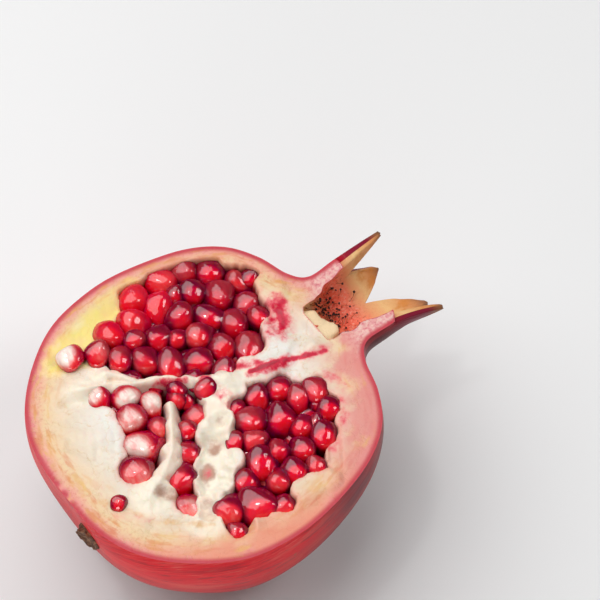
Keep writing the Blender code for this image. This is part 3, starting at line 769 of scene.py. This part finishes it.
def make_stamens(material):
    """Dried stamens on the cup's wall: each is a tube along a quadratic curve that swells into its anther."""
    chance = np.random.default_rng(STAMEN_SEED)
    angle = np.radians(chance.uniform(2, 172, STAMEN_COUNT))
    root = chance.triangular(42.5, 45, 56, STAMEN_COUNT) * MM
    slope = (CUP_MOUTH_RADIUS - CUP_FLOOR_RADIUS) / (CUP_MOUTH_X - CUP_FLOOR_X)

    def wall(along, inward):
        return CUP_FLOOR_RADIUS + slope * (along - CUP_FLOOR_X) - inward

    tip = root + chance.uniform(0.5, 3.0, STAMEN_COUNT) * MM
    lift = chance.uniform(0.7, 1.6, STAMEN_COUNT) * MM
    sway = np.radians(chance.uniform(-14, 14, STAMEN_COUNT))
    start = on_axis(root, wall(root, -0.3 * MM), angle)[:, None]
    bend = on_axis(0.5 * (root + tip), wall(0.5 * (root + tip), 1.3 * lift), angle)[:, None]
    end = on_axis(tip, wall(tip, lift), angle + sway)[:, None]
    t = np.array(STAMEN_STEPS)[:, None]
    path = (1 - t)**2 * start + 2 * t * (1 - t) * bend + t**2 * end
    heading = np.gradient(path, axis=1)
    heading /= np.linalg.norm(heading, axis=-1, keepdims=True)
    across = np.cross(heading, [0.3, 0.2, 0.93])
    across /= np.linalg.norm(across, axis=-1, keepdims=True)
    other = np.cross(heading, across)
    turn = np.arange(STAMEN_SIDES) / STAMEN_SIDES * math.tau
    thickness = chance.uniform(0.7, 1.2, (STAMEN_COUNT, 1, 1, 1)) * MM
    width = thickness * np.array(STAMEN_WIDTHS)[:, None, None]
    ring = np.cos(turn)[:, None] * across[:, :, None] + np.sin(turn)[:, None] * other[:, :, None]
    points = path[:, :, None] + width * ring
    points[..., 2] = np.minimum(points[..., 2], CUT + 0.3 * MM)
    index = np.arange(points[..., 0].size).reshape(points.shape[:3])
    index = np.concatenate([index, index[:, :, :1]], axis=2)
    ends = index[:, 0, -2::-1].tolist() + index[:, -1, :-1].tolist()
    faces = grid_faces(index[:, ::-1]).tolist() + ends
    anther = np.broadcast_to(smoothstep(t, 0.6, 0.86)[None, :, :, None], (*points.shape[:3], 1))
    piece = make_mesh("stamens", points.reshape(-1, 3), faces, [material], {"anther": anther.ravel()})
    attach(piece, "root")
    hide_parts("stamen_ring")


# ---------------- materials

def linear(shade):
    """A colour given by its usual 0 to 255 values, as the shader's linear numbers."""
    values = np.array(shade) / 255
    values = np.where(values <= 0.04045, values / 12.92, ((values + 0.055) / 1.055) ** 2.4)
    return (*values.tolist(), 1.0)


class Finish:
    """A node material being made. Each call adds a node and gives its output; paint adds to the base."""

    def __init__(self, name):
        self.material = bpy.data.materials.new(name)
        self.material.use_nodes = True
        self.tree = self.material.node_tree
        self.base = None

    def put(self, socket, value):
        """Links an output into a socket, or sets a plain value on it; a colour is three numbers up to 255."""
        if isinstance(value, bpy.types.NodeSocket):
            self.tree.links.new(value, socket)
        elif socket.type == "RGBA":
            socket.default_value = linear(value)
        else:
            socket.default_value = value

    def node(self, kind, output, inputs=None, **settings):
        made = self.tree.nodes.new("ShaderNode" + kind)
        for key, value in settings.items():
            setattr(made, key, value)
        for key, value in (inputs or {}).items():
            self.put(made.inputs[key], value)
        return made.outputs[output]

    def attribute(self, name, part="Fac"):
        return self.node("Attribute", part, attribute_name=name)

    def place(self):
        return self.node("TexCoord", "Object")

    def stretched(self, vector, scale):
        return self.node("Mapping", "Vector", {"Vector": vector, "Scale": scale})

    def noise(self, vector, size, detail=3.0, roughness=0.5):
        """Noise from 0 to 1 with patches of this size in millimetres."""
        settings = {"Vector": vector, "Scale": 1 / (size * MM), "Detail": detail, "Roughness": roughness}
        return self.node("TexNoise", "Fac", settings)

    def calc(self, operation, first, second=0.0):
        return self.node("Math", 0, {0: first, 1: second}, operation=operation)

    def times(self, first, second):
        return self.calc("MULTIPLY", first, second)

    def plus(self, first, second):
        return self.calc("ADD", first, second)

    def about_zero(self, value, size):
        """A noise moved to either side of zero and given this size."""
        return self.times(self.calc("SUBTRACT", value, 0.5), size)

    def span(self, value, low, high, to_low=0.0, to_high=1.0):
        """A value carried smoothly from one range to another and kept inside it."""
        ends = {"Value": value, "From Min": low, "From Max": high, "To Min": to_low, "To Max": to_high}
        return self.node("MapRange", "Result", ends, interpolation_type="SMOOTHSTEP")

    def along(self, vector, direction):
        """How far a place lies along a direction."""
        return self.node("VectorMath", "Value", {0: vector, 1: direction}, operation="DOT_PRODUCT")

    def blend(self, share, first, second):
        """The first colour where share is 0, the second where it is 1."""
        return self.node("Mix", 2, {0: share, 6: first, 7: second}, data_type="RGBA")

    def paint(self, share, shade):
        """Lays a colour over the base colour where share is 1."""
        self.base = self.blend(share, self.base, shade)

    def ramp(self, value, stops):
        """Colour stops along a value from 0 to 1."""
        shade = self.node("ValToRGB", "Color", {"Fac": value})
        elements = shade.node.color_ramp.elements
        while len(elements) < len(stops):
            elements.new(0.5)
        for element, (place, colour) in zip(elements, stops):
            element.position = place
            element.color = linear(colour)
        return shade

    def bump(self, height, strength, depth):
        """A bump of this depth in millimetres."""
        settings = {"Strength": strength, "Distance": depth * MM, "Height": height}
        return self.node("Bump", "Normal", settings)

    def done(self, sockets):
        """The material, with its base colour and these values or links in its shader."""
        shader = self.tree.nodes["Principled BSDF"]
        self.put(shader.inputs["Base Color"], self.base)
        for key, value in sockets.items():
            self.put(shader.inputs[key], value)
        return self.material


def skin_material():
    """Crimson rind: fine pale and dark streaks from stem to crown, brown-purple patches on the far flank that
    are partly painted shade, painted shade towards the bottom, and a few scars.
    """
    skin = Finish("rind_skin")
    noise, span, paint = skin.noise, skin.span, skin.paint
    spot = skin.attribute("skin_spot", "Vector")
    place = skin.place()
    streaks = noise(skin.stretched(spot, (1, 1, 0.14)), 1.1, 4.0, 0.65)
    broad = noise(skin.stretched(spot, (1, 1, 0.22)), 5, 3.0, 0.6)
    patches = noise(skin.stretched(spot, (1, 1, 0.5)), 18)
    skin.base = skin.ramp(patches, ((0.3, (210, 14, 30)), (0.5, (228, 18, 36)), (0.7, (234, 38, 48))))
    paint(span(broad, 0.50, 0.70, 0, 0.45), (232, 112, 96))
    paint(span(streaks, 0.52, 0.70, 0, 0.5), (234, 126, 112))
    paint(span(streaks, 0.47, 0.32, 0, 0.7), (138, 6, 24))
    paint(span(broad, 0.44, 0.28, 0, 0.45), (150, 14, 34))
    # Painted shade: darker towards the bottom.
    paint(span(skin.along(place, (0, 0, 1)), 46 * MM, 14 * MM, 0, 0.85), (130, 22, 30))
    # Brown-purple patches on the far flank: partly the rind's own colour, partly painted shade.
    flank = span(skin.along(place, (0.75, -0.65, -0.1)), 24 * MM, 42 * MM)
    paint(skin.times(flank, span(patches, 0.3, 0.6, 0.5, 1.0)), (106, 36, 44))
    paint(span(noise(place, 5, 2.0), 0.70, 0.76, 0, 0.6), (150, 96, 58))
    crown = skin.attribute("crown")
    paint(span(crown, 0.34, 0.62, 0, 0.85), (134, 30, 54))
    paint(span(crown, 0.80, 0.98), (150, 100, 66))
    pores = noise(place, 0.8, 2.0)
    return skin.done({"Roughness": span(streaks, 0.3, 0.8, 0.32, 0.50), "Specular IOR Level": 0.1,
                      "Normal": skin.bump(skin.plus(pores, streaks), 0.3, 0.12)})


def flesh_material():
    """The cut face: a red line, pink rind, peach and cream pith, whiter membranes, juice stains, and pink and
    crimson by the pockets that is partly painted light and shade.
    """
    flesh = Finish("cut_flesh")
    noise, span, times, paint, ramp = flesh.noise, flesh.span, flesh.times, flesh.paint, flesh.ramp
    place = flesh.place()
    soft = noise(place, 8, 4.0)
    fine = noise(place, 1.1, 3.0, 0.6)
    patchy = noise(place, 3.2, 5.0, 0.6)
    folds = noise(place, 7, 4.0, 0.55)
    streaks = noise(flesh.stretched(flesh.attribute("skin_spot", "Vector"), (0.35, 0.35, 0.5)), 2.4)
    rim = flesh.attribute("rim")
    crest = flesh.attribute("crest")

    # Layers from the skin inwards, then specks, creases and ochre streaks.
    layer = flesh.calc("DIVIDE", flesh.plus(rim, flesh.about_zero(soft, 5 * MM)), 20 * MM)
    flesh.base = ramp(layer, (
        (0.0, (216, 96, 110)), (0.06, (230, 136, 134)), (0.13, (237, 178, 150)), (0.24, (238, 206, 160)),
        (0.40, (238, 214, 182)), (0.65, (238, 224, 204)), (1.0, (238, 233, 224)),
    ))
    specks = times(span(fine, 0.48, 0.75), span(rim, 8 * MM, 1 * MM, 0.10, 0.65))
    paint(specks, (216, 104, 100))
    crease = span(flesh.calc("ABSOLUTE", flesh.calc("SUBTRACT", folds, 0.5)), 0.022, 0.0)
    paint(times(crease, span(fine, 0.4, 0.7, 0.1, 0.55)), (222, 186, 130))
    ochre = times(span(streaks, 0.46, 0.66), span(rim, 11 * MM, 3 * MM, 0, 0.95))
    paint(ochre, ramp(soft, (
        (0.35, (232, 186, 104)), (0.5, (226, 156, 92)), (0.65, (224, 128, 104)))))

    # Blush on the crown side, peach on the low side, and the mottled neck.
    flank = span(flesh.along(place, (0.9, -0.45, 0.0)), 26 * MM, 42 * MM, 0, 0.85)
    blush = times(span(soft, 0.28, 0.52), span(rim, 14 * MM, 7 * MM, 0.2, 1.0))
    paint(times(flank, blush), (228, 140, 136))
    low_side = span(flesh.along(place, (-0.25, -0.95, 0.0)), 28 * MM, 42 * MM)
    low_side = times(low_side, span(rim, 13 * MM, 6 * MM, 0.15, 1.0))
    paint(times(low_side, span(soft, 0.3, 0.6, 0.3, 0.9)), (236, 150, 122))
    neck = span(flesh.along(place, (1.0, 0.0, 0.0)), 42 * MM, 50 * MM, 0, 0.9)
    paint(neck, ramp(fine, ((0.4, (240, 200, 190)), (0.55, (232, 160, 160)), (0.7, (214, 110, 124)))))
    paint(span(rim, 1.9 * MM, 0.5 * MM), (200, 48, 66))

    # The yellow hollow, walls tinted pink by juice and painted red light, membranes, stains with ragged
    # edges, and pockets painted crimson for juice and painted shade.
    paint(flesh.attribute("hollow"), ramp(soft, (
        (0.3, (255, 240, 186)), (0.5, (255, 234, 136)), (0.7, (254, 224, 148)))))
    # Pink by the walls: juice, and painted red light thrown from the arils.
    paint(times(flesh.attribute("near"), 0.5), (236, 140, 126))
    paint(times(crest, 0.7), (255, 242, 220))
    ragged = flesh.about_zero(patchy, 1.6)
    tan, juicy = (flesh.plus(mark, times(ragged, span(mark, 0.0, 0.3)))
                  for mark in (flesh.attribute("tan"), flesh.attribute("juice")))
    brown = flesh.blend(span(rim, 16 * MM, 10 * MM), (180, 128, 104), (226, 172, 98))
    paint(span(tan, 0.1, 1.0, 0.0, 0.85), brown)
    paint(span(juicy, 0.0, 0.6), ramp(juicy, (
        (0.05, (248, 180, 158)), (0.3, (238, 88, 108)), (0.6, (218, 8, 60)), (1.0, (176, 0, 44)))))
    # Crimson in the pockets: juice, and painted shade of the deep gaps between arils.
    sunk = flesh.calc("SUBTRACT", flesh.attribute("pocket"), times(crest, 0.12))
    paint(span(sunk, 0.0, 0.3), (150, 2, 26))
    grain = flesh.calc("SUBTRACT", flesh.plus(times(fine, 0.5), patchy), times(crease, 0.3))
    return flesh.done({
        "Roughness": span(soft, 0.3, 0.7, 0.34, 0.5), "Normal": flesh.bump(grain, 0.5, 0.3),
        "Subsurface Weight": 0.4, "Subsurface Radius": (1.0, 0.6, 0.4), "Subsurface Scale": 2.0 * MM,
    })


def crown_material():
    """Inside of the crown: a cream floor, a red cup flecked with salmon and black, cream and orange lobes."""
    inside = Finish("crown_inside")
    span, times, paint = inside.span, inside.times, inside.paint
    place = inside.place()
    crown = inside.attribute("crown")
    soft = inside.noise(place, 3.5)
    fine = inside.noise(place, 0.8, 4.0, 0.7)
    inside.base = inside.ramp(inside.plus(crown, inside.about_zero(soft, 0.16)), (
        (0.02, (255, 226, 182)), (0.07, (252, 206, 152)), (0.12, (248, 132, 92)), (0.22, (250, 98, 70)),
        (0.36, (250, 126, 96)), (0.46, (240, 160, 112)), (0.60, (242, 196, 134)), (0.82, (226, 150, 88)),
        (1.0, (146, 88, 58)),
    ))
    cup = times(span(crown, 0.04, 0.10), span(crown, 0.48, 0.36))
    paint(times(cup, span(fine, 0.5, 0.7, 0, 0.85)), (250, 184, 162))
    paint(times(cup, span(fine, 0.44, 0.34, 0, 0.65)), (140, 38, 28))
    lobe = times(span(crown, 0.5, 0.7), span(soft, 0.5, 0.66, 0, 0.7))
    paint(lobe, (220, 138, 56))
    return inside.done({"Roughness": span(fine, 0.3, 0.7, 0.5, 0.8), "Normal": inside.bump(fine, 0.7, 0.35)})


def stamen_material():
    """Brown filaments and black anthers."""
    stamen = Finish("dried_stamens")
    grain = stamen.noise(stamen.place(), 0.6, 2.0)
    thread = stamen.ramp(grain, ((0.35, (150, 70, 44)), (0.65, (214, 140, 90))))
    dark = stamen.ramp(grain, ((0.35, (22, 12, 12)), (0.65, (58, 32, 24))))
    stamen.base = stamen.blend(stamen.attribute("anther"), thread, dark)
    return stamen.done({"Roughness": stamen.span(grain, 0.3, 0.7, 0.5, 0.8)})


def wood_material():
    """Weathered stem: dark brown bark with paler fibres and cracks."""
    wood = Finish("stem_bark")
    fibre = wood.noise(wood.stretched(wood.place(), (0.3, 1.0, 1.0)), 0.9, 4.0, 0.65)
    wood.base = wood.ramp(fibre, ((0.3, (44, 26, 20)), (0.5, (104, 66, 46)), (0.7, (168, 122, 84))))
    roughness = wood.span(fibre, 0.3, 0.7, 0.9, 0.65)
    return wood.done({"Roughness": roughness, "Normal": wood.bump(fibre, 0.9, 0.5)})


def juice_material():
    """Aril flesh: a ramp over painted light and shade, dark on the flanks and lightest on top, painted
    scarlet light where light would gather, pale and streaked where the seed is near.
    """
    juice = Finish("aril_juice_skin")
    noise, span, times = juice.noise, juice.span, juice.times
    place = juice.place()
    veins = noise(place, 1.6)
    fibres = noise(juice.stretched(place, (1.0, 0.4, 0.4)), 1.3, 3.0, 0.55)
    seed = juice.attribute("core")
    # A ramp over the painted light and shade: dark crimson flanks, light tops.
    juice.base = juice.ramp(juice.plus(juice.attribute("painted_light_tone"), juice.about_zero(veins, 0.3)), (
        (0.0, (122, 0, 44)), (0.18, (146, 0, 50)), (0.42, (206, 0, 62)), (0.7, (255, 10, 62))))
    # Painted scarlet light where light would gather in the juice.
    juice.paint(times(juice.attribute("painted_glow"), span(fibres, 0.25, 0.6, 0.6, 1.0)), (255, 12, 34))
    core = times(seed, span(fibres, 0.3, 0.65, 0.7, 1.0))
    juice.paint(core, juice.ramp(core, (
        (0.0, (236, 16, 38)), (0.35, (252, 104, 96)), (0.75, (255, 236, 222)))))
    return juice.done({
        "Roughness": span(veins, 0.3, 0.7, 0.04, 0.09), "IOR": 1.45, "Specular IOR Level": 1.0,
        "Normal": juice.bump(noise(place, 2.4, 2.0), 0.4, 0.4),
        "Subsurface Weight": span(seed, 0.1, 0.6, 1.0, 0.15),
        "Subsurface Radius": (1.0, 0.06, 0.06), "Subsurface Scale": 3.0 * MM,
    })


# ---------------- studio

CAMERA_AZIMUTH = math.radians(-36.4)
CAMERA_ELEVATION = math.radians(60)
LENS = 135.0
SENSOR = 36.0
FIELD_WIDTH = 161.3 * MM
# The middle of the view, from the crown tube's mouth end on the cut face.
AIM_FROM = Vector((47 * MM, 1.3 * MM, CUT))
AIM_LEFT = 8.9 * MM
AIM_UP = 3.0 * MM
FLOOR_SHADE = (243.45, 243.45, 243.45)


def camera_axes():
    """The camera's right, up and back."""
    a, e = CAMERA_AZIMUTH, CAMERA_ELEVATION
    back = Vector((math.sin(a) * math.cos(e), -math.cos(a) * math.cos(e), math.sin(e)))
    right = Vector((math.cos(a), math.sin(a), 0))
    return right, back.cross(right), back


def hang(name, data, place, back):
    """A camera or a light at this place, with this direction behind it."""
    obj = bpy.data.objects.new(name, data)
    obj.location = place
    obj.rotation_euler = back.to_track_quat("Z", "Y").to_euler()
    bpy.context.scene.collection.objects.link(obj)
    return obj


def add_camera():
    right, up, back = camera_axes()
    data = bpy.data.cameras.new("camera")
    data.lens = LENS
    data.sensor_width = SENSOR
    data.clip_start, data.clip_end = 0.05, 20
    aim = AIM_FROM - right * AIM_LEFT + up * AIM_UP
    bpy.context.scene.camera = hang("camera", data, aim + back * (FIELD_WIDTH * LENS / SENSOR), back)


def add_softbox(name, direction, distance, size, power):
    """A rectangular light that faces the fruit from a direction given as camera right, up and back."""
    right, up, back = camera_axes()
    towards = (right * direction[0] + up * direction[1] + back * direction[2]).normalized()
    data = bpy.data.lights.new(name, "AREA")
    data.shape = "RECTANGLE"
    data.size, data.size_y = size
    data.energy = power
    hang(name, data, Vector((0, 0, CUT)) + towards * distance, towards)


def add_studio():
    """Pale floor, even surroundings and soft boxes."""
    finish = Finish("studio_floor")
    finish.base = FLOOR_SHADE
    material = finish.done({"Roughness": 0.9})
    half = 3.0
    corners = [(-half, -half, 0), (half, -half, 0), (half, half, 0), (-half, half, 0)]
    floor = make_mesh("studio_floor", corners, [(0, 1, 2, 3)], [material])
    world = bpy.data.worlds.new("studio_air")
    world.use_nodes = True
    surroundings = world.node_tree.nodes["Background"].inputs
    surroundings["Color"].default_value = (1, 1, 1, 1)
    surroundings["Strength"].default_value = 0.045
    bpy.context.scene.world = world
    add_softbox("key_light", (-0.45, 0.75, 0.75), 0.75, (1.10, 0.92), 7.0)
    add_softbox("side_light", (0.75, 0.5, 0.8), 0.8, (0.3, 0.3), 1.5)
    add_softbox("spark_light", (-0.25, 0.45, 0.9), 0.7, (0.06, 0.06), 0.35)
    add_softbox("front_light", (-0.15, -0.82, 0.62), 0.9, (0.4, 0.3), 2.0)
    bpy.context.scene.view_settings.view_transform = "Standard"


def main():
    add_camera()
    arils = model_arils()
    arils_seen = arils + small_arils()
    make_husk(arils_seen, skin_material(), flesh_material(), crown_material())
    make_arils(arils_seen + lower_arils(arils), juice_material())
    make_stub(wood_material())
    make_stamens(stamen_material())
    add_studio()


main()
